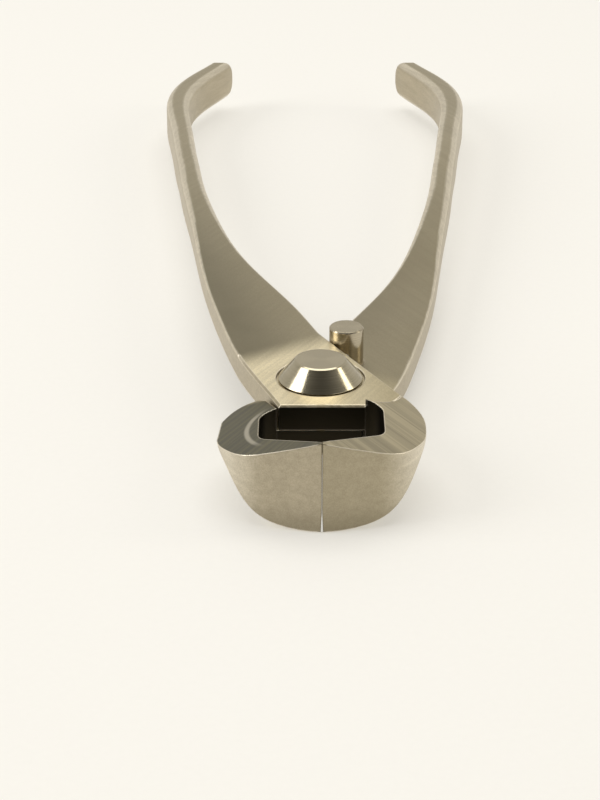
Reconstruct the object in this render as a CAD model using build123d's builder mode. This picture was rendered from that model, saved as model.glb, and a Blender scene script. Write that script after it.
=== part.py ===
"""Hand-held knob cutter: two crossed steel levers on one rivet, with hollow jaws and a stop pin.

Frame: +Z is the pivot axis, the jaws point to -Y and the handles to +Y.  The origin lies on the
pivot axis, in the flat face of the rear head, which is the plane that the tool rests on.
"""
import os
from math import atan2, cos
from build123d import *

# Levers
PLATE = 4.2                 # thickness of each lever at the boss
LAP_GAP = 0.06              # running gap between the two lap faces
HANDLE_REACH = 176.0        # pivot axis to the end of the handles
HALF_SPREAD = 32.3          # pivot plane to the outside of a grip, tool closed
GRIP_DROP = 4.2             # depth that a grip reaches past the lap plane
END_ROUND = 3.8             # rounding of a handle's end, seen from the side
END_EDGE = 1.0              # rounding of the edges of that end
BOSS_FRONT = 10.2           # pivot axis to the front face of the boss
BOSS_LEFT = 6.4             # left end of that front face, from the pivot plane
BOSS_RIGHT = 8.0            # and its right end
BOSS_WAIST = (-9.8, -1.1)   # where the left side of the boss is hollowest
BOSS_INSET = 0.7            # how far the left end of the boss lies inside the root of the handle
BOSS_CORNER = (12.4, -6.0)  # where the inner edge of the lever meets its jaw
CREASE_BOW = 0.6            # bow of the line between the boss and its jaw's ground face
EDGE_BREAK = 0.35           # chamfer on the long edges of the boss
OPEN_ANGLE = 25.0           # largest angle between closed and open

# Jaws
JAW_REACH = 29.3            # pivot axis to the cutting edges
JAW_HALF_WIDTH = 15.8       # widest place of the head, each side
JAW_HALF_HEIGHT = 7.2       # cutting edge, above and below the lap plane
SIDE_BACK = 15.0            # cutting edge back to the widest place of the head
UPPER_SIDE_DEPTH = 2.3      # thickness of the right jaw just inside its widest place
LOWER_SIDE_DEPTH = 1.5      # and of the left one
SIDE_TURN = 1.6             # how far the side has come in again where the jaw meets the boss
JAW_TAIL = (9.2, -4.4)      # inner back corner of a jaw
JAW_WALL = 6.4              # side wall of the hollow
HOLLOW_DEPTH = 8.4          # cutting edge back to the straight side of the hollow
HOLLOW_CORNER = 3.2         # radius where side wall and front wall meet
HOLLOW_HEEL = 3.0           # and where side wall and back wall meet
EDGE_LAND = 0.7             # thickness left at the cutting edge
UPPER_FALL = 0.28           # fall of the right jaw's ground face, per mm sideways
LOWER_FALL_SIDE = 0.28      # the same for the left jaw
LOWER_FALL_BACK = 0.085     # fall of the left jaw's ground face, per mm towards the handles
LOWER_SLIM = 0.97           # width of the left jaw's underside, as a share of the right one's
SEAM_TOP = 0.06             # gap between the cutting edges
SEAM_BOTTOM = 0.36          # and at the bottom of the jaws
SEAM_SLIT = 3.2             # height over which it opens to that
SWING_CLEARANCE = 0.35      # between a jaw and the other lever's boss, while it swings

# Pivot rivet
SHANK_R = 3.0
SHANK_FIT = 0.03            # radial clearance in the upper lever
HEAD_BASE_R = 6.6
HEAD_TOP_R = 3.93
HEAD_HEIGHT = 3.2           # head above the boss
HEAD_BEVEL = 0.15
HEAD_LAND = 0.1             # straight rim of the head, over the boss
SEAT_GAP = 0.4              # groove round the head, in its seat
SEAT_DEPTH = 0.6
SEAT_LIFT = 0.05            # head off the bottom of the upper seat, so that the lever turns

# Stop pin
PIN_R = 2.8
PIN_HEIGHT = 6.2            # above the lap plane
PIN_BEVEL = 0.2
PIN_SINK = 3.0              # length pressed in the lower lever
PIN_Y = 15.6                # behind the pivot
STOP_GAP = 0.08             # pin to lever, tool closed

# Nose of a jaw in plan, from the cutting edge to the side: share of the half width, share of
# the length of the side.
NOSE = ((0.418, 0.087), (0.722, 0.220), (0.911, 0.507))

# Underside of a jaw, seen along the seam, from the seam to the side: share of the half width,
# share of the half height.
UNDERSIDE = ((0.36, 0.955), (0.62, 0.75), (0.80, 0.37))

LAP_Z = PLATE + HEAD_HEIGHT     # height of the lap plane over the rest plane
DEEP = 40.0                     # longer than any cut needs

# Handle stations, from the boss to the end: share of the reach, outside edge as a share of the
# half spread, width, share of the grip drop, corner radius.
STATIONS = (
    (0.050, 0.408, 17.8, 0.00, 0.30),
    (0.105, 0.482, 15.2, 0.00, 0.35),
    (0.172, 0.556, 13.4, 0.00, 0.40),
    (0.257, 0.634, 9.7, 0.00, 0.55),
    (0.336, 0.688, 6.8, 0.14, 0.80),
    (0.435, 0.755, 5.1, 0.42, 1.20),
    (0.590, 0.855, 4.3, 0.84, 1.50),
    (0.693, 0.919, 4.4, 1.00, 1.60),
    (0.790, 0.985, 4.8, 1.00, 1.70),
    (0.850, 0.995, 5.2, 1.00, 1.75),
    (0.900, 0.945, 5.4, 1.00, 1.80),
    (0.950, 0.835, 5.2, 1.00, 1.80),
    (1.000, 0.715, 4.6, 1.00, 1.75),
)


def handle():
    """Handle of the upper lever, lofted through one upright section at each station."""
    with BuildPart() as grip:
        for share, outside, width, drop, radius in STATIONS:
            top = PLATE
            bottom = LAP_GAP / 2 - GRIP_DROP * drop
            left = -HALF_SPREAD * outside
            with BuildSketch(Plane.XZ.offset(-HANDLE_REACH * share)):
                with Locations((left + width / 2, (top + bottom) / 2)):
                    RectangleRounded(width, top - bottom, radius)
        loft()
        with BuildSketch(Plane.YZ) as side:
            with Locations((0, (PLATE - GRIP_DROP) / 2)):
                Rectangle(2 * HANDLE_REACH, PLATE + GRIP_DROP + 2 * LAP_GAP)
            fillet(side.vertices(), END_ROUND)
        extrude(amount=2 * HALF_SPREAD, both=True, mode=Mode.INTERSECT)
        fillet(grip.faces().sort_by(Axis.Y)[-1].edges(), END_EDGE)
    return grip.part


def boss_corners():
    """Corners of the upper lever's boss in plan, from the front left one round to the right."""
    root, second = STATIONS[:2]
    front_left = (-BOSS_LEFT, -BOSS_FRONT)
    left_root = (-HALF_SPREAD * root[1], HANDLE_REACH * root[0])
    left_end = (-HALF_SPREAD * second[1] + BOSS_INSET, HANDLE_REACH * second[0])
    right_end = (left_end[0] + second[2] - BOSS_INSET, left_end[1])
    right_root = (left_root[0] + root[2], left_root[1])
    front_right = (BOSS_RIGHT, -BOSS_FRONT)
    return front_left, BOSS_WAIST, left_root, left_end, right_end, right_root, BOSS_CORNER, front_right


def crease_points():
    """Arc in plan where the flat of the boss ends at its own jaw's ground face."""
    front_right = (BOSS_RIGHT, -BOSS_FRONT)
    middle_x = (BOSS_RIGHT + BOSS_CORNER[0]) / 2 + CREASE_BOW
    middle_y = (BOSS_CORNER[1] - BOSS_FRONT) / 2 - CREASE_BOW
    return BOSS_CORNER, (middle_x, middle_y), front_right


def boss_outline():
    """Plan of the upper lever's boss, from its front face to the root of the handle."""
    corners = boss_corners()
    with BuildSketch() as outline:
        with BuildLine():
            Spline(*corners[:4])
            Polyline(*corners[3:7])
            ThreePointArc(*crease_points())
            Line(corners[7], corners[0])
        make_face()
    return outline.sketch


def mate_boss():
    """Plan of the lower lever's boss with room round it, which the upper lever's jaw stays out of."""
    corners = boss_corners()
    left_side = Spline(*corners[:4])
    left_points = [left_side @ (step / 10) for step in range(10)]
    with BuildSketch() as mate:
        with BuildLine():
            Polyline(*left_points, *corners[3:], close=True)
        make_face()
        mirror(about=Plane.YZ, mode=Mode.REPLACE)
        offset(amount=SWING_CLEARANCE, kind=Kind.INTERSECTION)
    return mate.sketch


def jaw_plan():
    """Plan of the right jaw: a wall round half of the hollow, from the edge back to the boss."""
    with BuildSketch() as plan:
        with BuildLine():
            edge = (0, -JAW_REACH)
            side = (JAW_HALF_WIDTH, -JAW_REACH + SIDE_BACK)
            nose = [(JAW_HALF_WIDTH * across, -JAW_REACH + SIDE_BACK * back) for across, back in NOSE]
            turn = (JAW_HALF_WIDTH - SIDE_TURN, (BOSS_CORNER[1] - BOSS_FRONT) / 2)
            Spline(edge, *nose, side, tangents=((1, 0.1), (0, 1)))
            Spline(side, turn, JAW_TAIL, tangents=((0, 1), (-1, 0.1)))
            Polyline(JAW_TAIL, (0, JAW_TAIL[1]), edge)
        make_face()
        with BuildLine():
            wall = JAW_HALF_WIDTH - JAW_WALL
            apex = (0, -JAW_REACH + EDGE_LAND)
            shoulder = (wall, -JAW_REACH + HOLLOW_DEPTH)
            Polyline((0, -BOSS_FRONT), apex, shoulder, (wall, -BOSS_FRONT), close=True)
        make_face(mode=Mode.SUBTRACT)
        fillet(plan.vertices().sort_by_distance(shoulder)[0], HOLLOW_CORNER)
        fillet(plan.vertices().sort_by_distance((wall, -BOSS_FRONT))[0], HOLLOW_HEEL)
        for swing in (0, -OPEN_ANGLE):
            add(mate_boss(), rotation=swing, mode=Mode.SUBTRACT)
    return plan.sketch


def jaw(side, fall_side, fall_back, slim, side_depth):
    """Jaw on one side of the seam: a flat ground face on top, a rounded underside."""
    width = JAW_HALF_WIDTH * slim
    height = JAW_HALF_HEIGHT
    side_top = height - fall_side * JAW_HALF_WIDTH - fall_back * SIDE_BACK
    with BuildPart() as block:
        with BuildSketch(Plane.XY.offset(-2 * JAW_HALF_HEIGHT)):
            add(jaw_plan())
        extrude(amount=4 * JAW_HALF_HEIGHT)
        edge_top = (0, -JAW_REACH, JAW_HALF_HEIGHT)
        split(bisect_by=Plane(edge_top, z_dir=(fall_side, fall_back, 1)), keep=Keep.BOTTOM)
        with BuildSketch(Plane.XZ):
            with BuildLine():
                low = (0, -height)
                curve = [(width * across, -height * down) for across, down in UNDERSIDE]
                flank = (0.92 * width, side_top - side_depth)
                high = (1.06 * width, side_top + side_depth / 2)
                Spline(low, *curve, flank, high)
                Polyline(high, (high[0], DEEP), (0, DEEP), low)
            make_face()
        extrude(amount=DEEP, mode=Mode.INTERSECT)
        with BuildSketch(Plane.XY.offset(PLATE)):
            with BuildLine():
                crease = ThreePointArc(*crease_points())
                Polyline(crease @ 1, (0, -BOSS_FRONT), (0, 0), (DEEP, 0), (DEEP, BOSS_CORNER[1]), crease @ 0)
            make_face()
        extrude(amount=DEEP, mode=Mode.SUBTRACT)
        if side < 0:
            mirror(about=Plane.YZ, mode=Mode.REPLACE)
    return block.part


def bar():
    """Boss and handle of the upper lever."""
    with BuildPart() as blank:
        with BuildSketch(Plane.XY.offset(LAP_GAP / 2)):
            add(boss_outline())
        extrude(amount=PLATE - LAP_GAP / 2)
        rim = blank.faces().sort_by(Axis.Z)[-1].edges().filter_by(GeomType.CIRCLE, reverse=True)
        chamfer(rim.filter_by(lambda edge: edge.center().Y < HANDLE_REACH * STATIONS[0][0]), EDGE_BREAK)
        add(handle())
        crossing = HANDLE_REACH * STATIONS[2][0]
        with Locations((0, 0, LAP_GAP / 2)):
            Box(4 * HALF_SPREAD, 2 * crossing, DEEP, align=(Align.CENTER, Align.CENTER, Align.MAX),
                mode=Mode.SUBTRACT)
    return blank.part


def lever(side, fall_side, fall_back, slim, side_depth, bore_r):
    """One lever about the lap plane: side 1 is the upper lever, side -1 the lower one, turned over."""
    turn = 0 if side > 0 else 180
    with BuildPart() as forging:
        add(bar(), rotation=(0, turn, 0))
        add(jaw(side, fall_side, fall_back, slim, side_depth))
        with BuildSketch(Plane.XZ.offset(BOSS_FRONT)):
            high = [(SEAM_TOP / 2, SEAM_SLIT - JAW_HALF_HEIGHT), (SEAM_TOP / 2, DEEP)]
            low = [(SEAM_BOTTOM / 2, -DEEP), (SEAM_BOTTOM / 2, -JAW_HALF_HEIGHT)]
            with BuildLine():
                Polyline((0, -DEEP), *low, *high, (0, DEEP), close=True)
            make_face()
            mirror(about=Plane.YZ)
        extrude(amount=DEEP, mode=Mode.SUBTRACT)
        with Locations((0, 0, side * PLATE)):
            Cylinder(HEAD_BASE_R + SEAT_GAP, 2 * SEAT_DEPTH, mode=Mode.SUBTRACT)
        Cylinder(bore_r, 3 * PLATE, mode=Mode.SUBTRACT)
    return forging.part


def head(inner_r, lift):
    """Conical head on the upper lever's seat, about the lap plane, bored to inner_r."""
    seat = PLATE - SEAT_DEPTH + lift
    crown = PLATE + HEAD_HEIGHT
    with BuildPart() as cone:
        with BuildSketch(Plane.XZ):
            with BuildLine():
                Polyline((inner_r, seat), (HEAD_BASE_R, seat), (HEAD_BASE_R, PLATE + HEAD_LAND),
                         (HEAD_TOP_R + HEAD_BEVEL, crown - HEAD_BEVEL), (HEAD_TOP_R - HEAD_BEVEL, crown),
                         (inner_r, crown), close=True)
            make_face()
        revolve(axis=Axis.Z)
    return cone.part


def stop_pin_x():
    """Place of the stop pin's axis: its side bears on the inner edge of the closed upper lever."""
    near, far = [(HANDLE_REACH * row[0], row[2] - HALF_SPREAD * row[1]) for row in STATIONS[:2]]
    slope = (far[1] - near[1]) / (far[0] - near[0])
    edge_x = near[1] + slope * (PIN_Y - near[0])
    return edge_x + (PIN_R + STOP_GAP) / cos(atan2(slope, 1))


PIN_PLACE = (stop_pin_x(), PIN_Y)

with BuildPart() as upper_lever:
    with Locations((0, 0, LAP_Z)):
        add(lever(1, UPPER_FALL, 0, 1, UPPER_SIDE_DEPTH, SHANK_R + SHANK_FIT))

with BuildPart() as lower_lever:
    with Locations((0, 0, LAP_Z)):
        add(lever(-1, LOWER_FALL_SIDE, LOWER_FALL_BACK, LOWER_SLIM, LOWER_SIDE_DEPTH, SHANK_R))
    with Locations((*PIN_PLACE, LAP_Z - LAP_GAP / 2)):
        Cylinder(PIN_R, 2 * (PIN_SINK - LAP_GAP / 2), mode=Mode.SUBTRACT)

with BuildPart() as pivot_rivet:
    with Locations((0, 0, LAP_Z)):
        add(head(0, SEAT_LIFT))
    Cylinder(SHANK_R, LAP_Z + PLATE, align=(Align.CENTER, Align.CENTER, Align.MIN))

with BuildPart() as rear_head:
    with Locations((0, 0, LAP_Z)):
        add(head(SHANK_R, 0), rotation=(0, 180, 0))

with BuildPart() as stop_pin:
    with Locations((*PIN_PLACE, LAP_Z - PIN_SINK)):
        Cylinder(PIN_R, PIN_SINK + PIN_HEIGHT, align=(Align.CENTER, Align.CENTER, Align.MIN))
    chamfer(stop_pin.faces().sort_by(Axis.Z)[-1].edges(), PIN_BEVEL)

os.makedirs("parts", exist_ok=True)
for name, piece in (
    ("upper_lever", upper_lever),
    ("lower_lever", lower_lever),
    ("pivot_rivet", pivot_rivet),
    ("rear_head", rear_head),
    ("stop_pin", stop_pin),
):
    piece.part.label = name
    export_step(piece.part, f"parts/{name}.step")
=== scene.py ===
"""Looks for the hand-held knob cutter: ground and satin steel, pale floor, soft studio light."""

import math

import bpy
from mathutils import Euler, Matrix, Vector


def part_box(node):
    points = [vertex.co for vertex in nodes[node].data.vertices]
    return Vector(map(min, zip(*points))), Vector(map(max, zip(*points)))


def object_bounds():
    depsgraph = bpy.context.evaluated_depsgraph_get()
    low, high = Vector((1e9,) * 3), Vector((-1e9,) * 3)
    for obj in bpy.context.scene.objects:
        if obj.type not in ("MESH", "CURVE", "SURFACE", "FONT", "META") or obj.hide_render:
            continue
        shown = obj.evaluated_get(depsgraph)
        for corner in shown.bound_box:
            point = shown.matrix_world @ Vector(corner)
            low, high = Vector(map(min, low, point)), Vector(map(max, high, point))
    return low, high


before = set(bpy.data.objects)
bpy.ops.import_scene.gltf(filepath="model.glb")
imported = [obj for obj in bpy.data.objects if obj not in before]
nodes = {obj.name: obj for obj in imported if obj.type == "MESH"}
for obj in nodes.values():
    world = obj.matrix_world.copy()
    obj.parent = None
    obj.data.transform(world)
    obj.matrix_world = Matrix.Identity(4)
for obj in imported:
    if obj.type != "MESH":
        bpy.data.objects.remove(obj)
cad_low, cad_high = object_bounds()
scene = bpy.context.scene

pin_low, pin_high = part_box("stop_pin")
FLOOR_Z = cad_low.z
PIN_CENTRE = (pin_low + pin_high) / 2

# Places on the tool, in metres, that its materials follow
HOLLOW_MIDDLE_Y = -0.0190      # middle of the hollow of the jaws, on the pivot plane
ARC_MIDDLE = (-0.0008, -0.0170)  # middle of the painted highlight arc on the right jaw, mirrored for the left one
ARC_RADIUS = 0.0120
BOSS_SLANT = 0.67              # slope in plan of the line where the boss ends at the handle
GRAIN_ANGLE = -62              # degrees, along the flats of the upper lever's handle
PAPER_HALF = 3.0               # half the side of the paper on the floor


# --- node building ---------------------------------------------------------------------------

class Graph:
    """Small helper round a material's node tree: each call adds one node and returns its output."""

    def __init__(self, name):
        self.material = bpy.data.materials.new(name)
        self.material.use_nodes = True
        self.tree = self.material.node_tree
        self.tree.nodes.clear()
        self.output = self.tree.nodes.new("ShaderNodeOutputMaterial")
        self.shader = self.tree.nodes.new("ShaderNodeBsdfPrincipled")
        self.tree.links.new(self.shader.outputs[0], self.output.inputs[0])
        coordinates = self.tree.nodes.new("ShaderNodeTexCoord")
        self.position = coordinates.outputs["Object"]

    def put(self, value, socket):
        if isinstance(value, bpy.types.NodeSocket):
            self.tree.links.new(value, socket)
        else:
            socket.default_value = value

    def node(self, kind, **settings):
        made = self.tree.nodes.new(kind)
        for key, value in settings.items():
            setattr(made, key, value)
        return made

    def math(self, operation, a, b=0.0, clamp=False):
        made = self.node("ShaderNodeMath", operation=operation, use_clamp=clamp)
        self.put(a, made.inputs[0])
        self.put(b, made.inputs[1])
        return made.outputs[0]

    def product(self, first, *others):
        for other in others:
            first = self.math("MULTIPLY", first, other)
        return first

    def distance(self, dx, dy):
        dx_squared = self.math("MULTIPLY", dx, dx)
        dy_squared = self.math("MULTIPLY", dy, dy)
        return self.math("SQRT", self.math("ADD", dx_squared, dy_squared))

    def separate(self, vector):
        made = self.node("ShaderNodeSeparateXYZ")
        self.put(vector, made.inputs[0])
        return made.outputs

    def combine(self, x, y, z):
        made = self.node("ShaderNodeCombineXYZ")
        for socket, value in zip(made.inputs, (x, y, z)):
            self.put(value, socket)
        return made.outputs[0]

    def mapping(self, vector, location=(0, 0, 0), rotation=(0, 0, 0), scale=(1, 1, 1)):
        made = self.node("ShaderNodeMapping")
        self.put(vector, made.inputs["Vector"])
        made.inputs["Location"].default_value = location
        made.inputs["Rotation"].default_value = rotation
        made.inputs["Scale"].default_value = scale
        return made.outputs[0]

    def noise(self, vector, scale, detail=3.0, rough=0.5):
        made = self.node("ShaderNodeTexNoise")
        self.put(vector, made.inputs["Vector"])
        made.inputs["Scale"].default_value = scale
        made.inputs["Detail"].default_value = detail
        made.inputs["Roughness"].default_value = rough
        return made.outputs["Fac"]

    def smooth(self, value, low, high, out_low=0.0, out_high=1.0):
        made = self.node("ShaderNodeMapRange", interpolation_type="SMOOTHSTEP")
        self.put(value, made.inputs["Value"])
        made.inputs["From Min"].default_value = low
        made.inputs["From Max"].default_value = high
        made.inputs["To Min"].default_value = out_low
        made.inputs["To Max"].default_value = out_high
        return made.outputs[0]

    def mix(self, factor, a, b):
        made = self.node("ShaderNodeMix", data_type="RGBA")
        self.put(factor, made.inputs[0])
        self.put(a, made.inputs[6])
        self.put(b, made.inputs[7])
        return made.outputs[2]

    def blend(self, factor, a, b):
        made = self.node("ShaderNodeMix", data_type="FLOAT")
        self.put(factor, made.inputs[0])
        self.put(a, made.inputs[2])
        self.put(b, made.inputs[3])
        return made.outputs[0]

    def bump(self, height, distance, strength=1.0, normal=None):
        made = self.node("ShaderNodeBump")
        made.inputs["Strength"].default_value = strength
        made.inputs["Distance"].default_value = distance
        self.put(height, made.inputs["Height"])
        if normal is not None:
            self.put(normal, made.inputs["Normal"])
        return made.outputs[0]

    def normal(self):
        """The surface's own normal, in the object's frame."""
        return self.node("ShaderNodeTexCoord").outputs["Normal"]


# --- steel -----------------------------------------------------------------------------------

# Linear base colours
STEEL = (0.285, 0.248, 0.165, 1)
# painted shade and painted light: shaded and lit copies of the handle's steel
STEEL_SHADED = (0.195, 0.172, 0.108, 1)
STEEL_PAINTED_LIT = (0.330, 0.288, 0.190, 1)
STEEL_DARK = (0.21, 0.180, 0.120, 1)
# painted reflection on the levers' sides, also the light colour of the clouds
SIDE_REFLECTION_AND_CLOUD_STEEL = (0.52, 0.455, 0.335, 1)
# painted highlight and painted shade of the boss's flat
BOSS_PAINTED_HIGHLIGHT = (0.92, 0.820, 0.580, 1)
BOSS_SHADED = (0.56, 0.485, 0.310, 1)
GRIP_STEEL = (0.42, 0.368, 0.258, 1)
# painted shade in the hollow of the jaws
HOLLOW_PAINTED_SHADE = (0.030, 0.025, 0.016, 1)
# painted highlight on edges, on the arc and on the sides of the nose
PAINTED_HIGHLIGHT = (0.95, 0.88, 0.74, 1)
END_STEEL = (0.42, 0.375, 0.275, 1)
END_ROUGH = 0.24               # roughness of the ends of rivet and pin


def brushed(graph, angle, along, across, deep):
    """Fine scratches along one direction in plan, at two sizes: 0 is dark, 1 is light.

    along, across and deep are how quickly they change down their length, across it and with height.
    """
    turned = graph.mapping(graph.position, rotation=(0, 0, angle))
    fine = graph.noise(graph.mapping(turned, scale=(along, across, deep)), 1.0, 2.0, 0.6)
    coarse = graph.mapping(turned, scale=(along / 3, across / 5, deep / 5))
    broad = graph.noise(coarse, 1.0, 3.0, 0.6)
    return graph.blend(0.35, fine, broad)


def edge_turn_and_rounding(graph, width):
    """How much the surface turns within a width of each point, and the normal rounded over it.

    The first is 1 on a sharp edge and 0 on an open face.
    """
    bevel = graph.node("ShaderNodeBevel", samples=8)
    graph.put(width, bevel.inputs["Radius"])
    geometry = graph.node("ShaderNodeNewGeometry")
    product = graph.node("ShaderNodeVectorMath", operation="DOT_PRODUCT")
    graph.put(bevel.outputs[0], product.inputs[0])
    graph.put(geometry.outputs["True Normal"], product.inputs[1])
    return graph.smooth(product.outputs["Value"], 0.995, 0.90), bevel.outputs[0]


def lever_steel(name, side, scratch_angle, painted_flat_shading, ground_scratch_and_shade_colours, front, bevel_highlight=0.0):
    """Satin handle, ground face on top of the jaw, painted shade in the hollow.

    side is 1 for the lever with the right jaw and -1 for the other one.  scratch_angle turns the
    scratches of the ground face, and ground_scratch_and_shade_colours are the dark and light of
    them, whose level for each lever is painted shade or light.  painted_flat_shading is a painted
    shaded and a painted lit colour of the handle's flat, blended across it, and front is the colour
    of the jaw's nose, set for each lever as painted light.  bevel_highlight is how strongly a narrow
    painted highlight arc shows on the ground face, beside the hollow.
    """
    ground_dark, ground_light = ground_scratch_and_shade_colours
    graph = Graph(name)
    x, y, z = graph.separate(graph.position)
    nx, ny, nz = graph.separate(graph.normal())
    satin = graph.noise(graph.position, 5200, 2.0, 0.6)
    cloud = graph.noise(graph.position, 90, 3.0, 0.55)
    grain = brushed(graph, math.radians(GRAIN_ANGLE * side), 60, 1300, 1300)

    # the ground face of the jaw: it looks up, but is not level
    forward = graph.smooth(y, -0.0035, -0.0060)
    upward = graph.smooth(nz, 0.55, 0.80)
    level = graph.smooth(nz, 0.992, 0.998)
    tilted = graph.math("SUBTRACT", 1.0, level)
    ground = graph.product(forward, upward, tilted)
    scratches = brushed(graph, scratch_angle, 30, 2600, 30)

    # the walls of the hollow: they look at its middle
    to_middle_x = graph.math("MULTIPLY", nx, graph.math("MULTIPLY", x, -1.0))
    to_middle_y = graph.math("MULTIPLY", ny, graph.math("SUBTRACT", HOLLOW_MIDDLE_Y, y))
    to_middle = graph.math("ADD", to_middle_x, to_middle_y)
    inward = graph.smooth(to_middle, 0.0004, 0.0016)
    steep = graph.smooth(graph.math("ABSOLUTE", nz), 0.6, 0.3)
    ahead = graph.smooth(y, -0.0085, -0.0098)
    hollow = graph.product(inward, steep, ahead)

    # painted highlight: the flat of the boss is painted brighter than the handle and darker towards
    # its right; the handle brightens to its grip
    across = graph.math("ADD", y, graph.math("MULTIPLY", x, -BOSS_SLANT * side))
    boss = graph.smooth(across, 0.0185, 0.0105)
    grip = graph.smooth(y, 0.050, 0.125)
    top = graph.smooth(graph.math("ABSOLUTE", nz), 0.80, 0.95)

    # painted light and shade: the handle's flat is painted darker along one edge and lighter along the
    # other
    sideways = graph.math("ADD", graph.math("MULTIPLY", x, side), graph.math("MULTIPLY", y, 0.3))
    flat = graph.mix(graph.smooth(sideways, -0.0085, 0.0045), *painted_flat_shading)
    flat = graph.mix(grip, flat, GRIP_STEEL)
    boss_painted_light = graph.mix(graph.smooth(x, 0.0, 0.0125), BOSS_PAINTED_HIGHLIGHT, BOSS_SHADED)
    flat = graph.mix(graph.math("MULTIPLY", boss, top), flat, boss_painted_light)

    # painted reflection and painted shade: the nose of the jaw is painted brighter towards its sides
    # and darker towards the floor
    outwards = graph.smooth(graph.math("ABSOLUTE", x), 0.0080, 0.0150, 0.0, 0.75)
    nose = graph.mix(outwards, front, PAINTED_HIGHLIGHT)
    nose = graph.mix(graph.smooth(z, 0.0050, 0.0005, 0.0, 0.35), nose, STEEL_DARK)
    # painted reflection: the upright faces behind the nose are painted light
    sides = graph.mix(graph.smooth(y, -0.0040, -0.0080), SIDE_REFLECTION_AND_CLOUD_STEEL, nose)

    # painted highlight: the rounded edges of the handle, between its level flat and its upright side,
    # are painted bright
    levelness = graph.math("ABSOLUTE", nz)
    turning = graph.product(graph.smooth(levelness, 0.992, 0.93), graph.smooth(levelness, 0.20, 0.55),
                            graph.smooth(y, 0.004, 0.012, 0.0, 0.65))
    handle = graph.mix(turning, graph.mix(top, sides, flat), PAINTED_HIGHLIGHT)

    # clouds, specks and grain over the whole lever, and the scratches of the ground face
    cloudy = graph.mix(graph.smooth(cloud, 0.35, 0.7, 0.0, 0.07), handle, SIDE_REFLECTION_AND_CLOUD_STEEL)
    speckled = graph.mix(graph.smooth(satin, 0.35, 0.65, 0.0, 0.20), cloudy, STEEL_DARK)
    body = graph.mix(graph.smooth(grain, 0.3, 0.7, 0.0, 0.25), speckled, STEEL_DARK)
    lines = graph.mix(graph.smooth(scratches, 0.34, 0.66), ground_dark, ground_light)
    # painted highlight: a narrow bright arc beside the hollow, where a bevel strip catches the light
    if bevel_highlight:
        dx = graph.math("SUBTRACT", x, ARC_MIDDLE[0] * side)
        dy = graph.math("SUBTRACT", y, ARC_MIDDLE[1])
        off_arc = graph.math("ABSOLUTE", graph.math("SUBTRACT", graph.distance(dx, dy), ARC_RADIUS))
        line = graph.product(graph.smooth(off_arc, 0.00055, 0.00015),
                             graph.smooth(y, -0.0245, -0.0215), graph.smooth(y, -0.0085, -0.0125),
                             graph.smooth(cloud, 0.2, 0.6, 0.5, 1.0))
        lines = graph.mix(graph.math("MULTIPLY", line, bevel_highlight), lines, PAINTED_HIGHLIGHT)
    # painted shade: the walls of the hollow are painted near-black
    metal = graph.mix(hollow, graph.mix(ground, body, lines), HOLLOW_PAINTED_SHADE)

    # painted highlight: edges are painted bright, but those of the seam between the jaws are dark
    edges, rounded = edge_turn_and_rounding(graph, graph.smooth(y, -0.002, 0.010, 0.00030, 0.00075))
    near_seam = graph.smooth(graph.math("ABSOLUTE", x), 0.0009, 0.0004)
    beside_seam = graph.math("MULTIPLY", near_seam, ahead)
    metal = graph.mix(graph.math("MULTIPLY", edges, beside_seam), metal, STEEL_DARK)
    bright = graph.product(edges, graph.smooth(hollow, 0.6, 0.1, 0.15, 0.70),
                           graph.math("SUBTRACT", 1.0, beside_seam))
    graph.put(graph.mix(bright, metal, PAINTED_HIGHLIGHT), graph.shader.inputs["Base Color"])

    rough_body = graph.smooth(satin, 0.2, 0.8, 0.34, 0.44)
    rough_ground = graph.smooth(scratches, 0.3, 0.7, 0.28, 0.44)
    graph.put(graph.blend(ground, rough_body, rough_ground), graph.shader.inputs["Roughness"])

    fine = graph.bump(satin, 0.000012, 0.5, rounded)
    drawn = graph.bump(graph.math("MULTIPLY", scratches, ground), 0.00002, 0.6, fine)
    graph.put(graph.bump(grain, 0.000010, 0.5, drawn), graph.shader.inputs["Normal"])
    graph.shader.inputs["Metallic"].default_value = 1.0
    return graph.material


def turned_steel(name, centre, rough, dark, light):
    """Steel finished on a lathe about an upright axis: hoops on the wall, plain satin ends."""
    graph = Graph(name)
    x, y, z = graph.separate(graph.position)
    dx = graph.math("SUBTRACT", x, centre.x)
    dy = graph.math("SUBTRACT", y, centre.y)
    rings = graph.noise(graph.combine(graph.distance(dx, dy), z, 0.0), 9000, 2.0, 0.6)
    worn = graph.noise(graph.position, 300, 2.0, 0.5)
    nz = graph.separate(graph.normal())[2]
    end = graph.smooth(nz, 0.9, 0.97)

    colour = graph.mix(graph.smooth(rings, 0.35, 0.65), dark, light)
    colour = graph.mix(graph.math("MULTIPLY", end, 0.8), colour, END_STEEL)
    graph.put(colour, graph.shader.inputs["Base Color"])
    wall_rough = graph.smooth(worn, 0.3, 0.7, rough * 0.9, rough * 1.15)
    graph.put(graph.blend(end, wall_rough, END_ROUGH), graph.shader.inputs["Roughness"])
    _, rounded = edge_turn_and_rounding(graph, 0.00012)
    graph.put(graph.bump(rings, 0.000003, 0.25, rounded), graph.shader.inputs["Normal"])
    graph.shader.inputs["Metallic"].default_value = 1.0
    graph.shader.inputs["Anisotropic"].default_value = 0.85
    tangent = graph.node("ShaderNodeTangent", direction_type="RADIAL", axis="Z")
    graph.put(tangent.outputs[0], graph.shader.inputs["Tangent"])
    return graph.material


def dress(name, material):
    """Puts one material on a CAD node, in place of what it had."""
    piece = nodes[name]
    piece.data.materials.clear()
    piece.data.materials.append(material)


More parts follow.
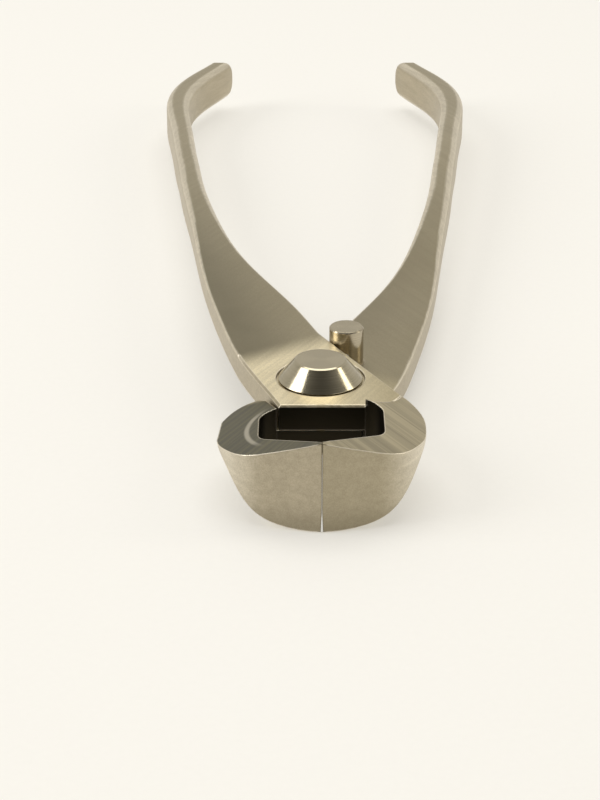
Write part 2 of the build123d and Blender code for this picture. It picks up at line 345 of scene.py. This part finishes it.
# painted light and shade: each lever gets its own flat, ground and nose tones; the lower lever's
# ground face is painted dark
upper = lever_steel(
    "satin steel, upper lever", 1, math.radians(48), (STEEL_SHADED, STEEL_PAINTED_LIT),
    ((0.30, 0.262, 0.175, 1), (0.47, 0.412, 0.282, 1)), (0.44, 0.385, 0.275, 1))
lower = lever_steel(
    "satin steel, lower lever", -1, math.radians(-56), (STEEL_PAINTED_LIT, STEEL),
    ((0.068, 0.064, 0.038, 1), (0.165, 0.152, 0.095, 1)), (0.50, 0.440, 0.330, 1), 0.4)
rivet = turned_steel("polished turned steel", Vector((0, 0, 0)), 0.11,
                     (0.40, 0.36, 0.26, 1), (0.48, 0.43, 0.32, 1))
pin = turned_steel("turned pin steel", PIN_CENTRE, 0.17,
                   (0.38, 0.335, 0.25, 1), (0.50, 0.44, 0.33, 1))
dress("upper_lever", upper)
dress("lower_lever", lower)
dress("pivot_rivet", rivet)
dress("rear_head", rivet)
dress("stop_pin", pin)


# --- floor -----------------------------------------------------------------------------------

def floor():
    """A wide sheet of pale paper on a lit table, which keeps its shadows faint."""
    corners = ((-1, -1), (1, -1), (1, 1), (-1, 1))
    vertices = [(PAPER_HALF * x, PAPER_HALF * y, FLOOR_Z) for x, y in corners]
    mesh = bpy.data.meshes.new("paper")
    mesh.from_pydata(vertices, [], [(0, 1, 2, 3)])
    paper = bpy.data.objects.new("paper", mesh)
    scene.collection.objects.link(paper)
    graph = Graph("warm white paper")
    fibre = graph.noise(graph.position, 900, 3.0, 0.6)
    colour = graph.mix(fibre, (0.415, 0.410, 0.395, 1), (0.440, 0.435, 0.420, 1))
    graph.put(colour, graph.shader.inputs["Base Color"])
    graph.shader.inputs["Emission Color"].default_value = (1.0, 0.965, 0.885, 1)
    graph.shader.inputs["Emission Strength"].default_value = 0.45
    graph.put(graph.bump(fibre, 0.00005, 0.3), graph.shader.inputs["Normal"])
    graph.shader.inputs["Roughness"].default_value = 0.85
    mesh.materials.append(graph.material)


floor()


# --- light -----------------------------------------------------------------------------------

def panel(name, location, target, width, height, power, colour=(1, 1, 1)):
    """A soft rectangular light that faces a target point."""
    data = bpy.data.lights.new(name, "AREA")
    data.shape = "RECTANGLE"
    data.size, data.size_y = width, height
    data.energy = power
    data.color = colour
    lamp = bpy.data.objects.new(name, data)
    lamp.location = location
    lamp.rotation_euler = (Vector(target) - Vector(location)).to_track_quat("-Z", "Y").to_euler()
    scene.collection.objects.link(lamp)


panel("overhead", (0.0, 0.25, 1.3), (0, 0.05, 0), 1.2, 1.0, 9.0, (1.0, 0.985, 0.95))
panel("left window", (-0.9, -0.1, 0.55), (0, 0.02, 0), 0.5, 0.7, 5.5, (1.0, 0.99, 0.97))
panel("right window", (1.0, 0.1, 0.5), (0, 0.02, 0), 0.25, 0.6, 1.8, (1.0, 0.95, 0.82))
panel("right card", (0.75, -0.55, 0.35), (0, 0, 0), 0.7, 0.5, 1.0, (1.0, 0.97, 0.90))


def room():
    """A dim warm room: darker in front of the tool than behind it."""
    world = bpy.data.worlds.new("dim room")
    world.use_nodes = True
    tree = world.node_tree
    background = tree.nodes["Background"]
    coordinates = tree.nodes.new("ShaderNodeTexCoord")
    split = tree.nodes.new("ShaderNodeSeparateXYZ")
    ramp = tree.nodes.new("ShaderNodeMapRange")
    ramp.inputs["From Min"].default_value = -0.6
    ramp.inputs["From Max"].default_value = 0.6
    ramp.inputs["To Min"].default_value = 0.09
    ramp.inputs["To Max"].default_value = 0.75
    tree.links.new(coordinates.outputs["Generated"], split.inputs[0])
    tree.links.new(split.outputs["Y"], ramp.inputs["Value"])
    tree.links.new(ramp.outputs[0], background.inputs["Strength"])
    background.inputs["Color"].default_value = (1.0, 0.965, 0.89, 1)
    scene.world = world


room()
scene.view_settings.view_transform = "Standard"


# --- camera ----------------------------------------------------------------------------------

lens = bpy.data.cameras.new("camera")
lens.lens = 96.5
lens.sensor_width = 36.0
camera = bpy.data.objects.new("camera", lens)
camera.location = (-0.0032, -0.305, 0.1519)
camera.rotation_euler = Euler((math.radians(90 - 25.3), 0, 0))
scene.collection.objects.link(camera)
scene.camera = camera
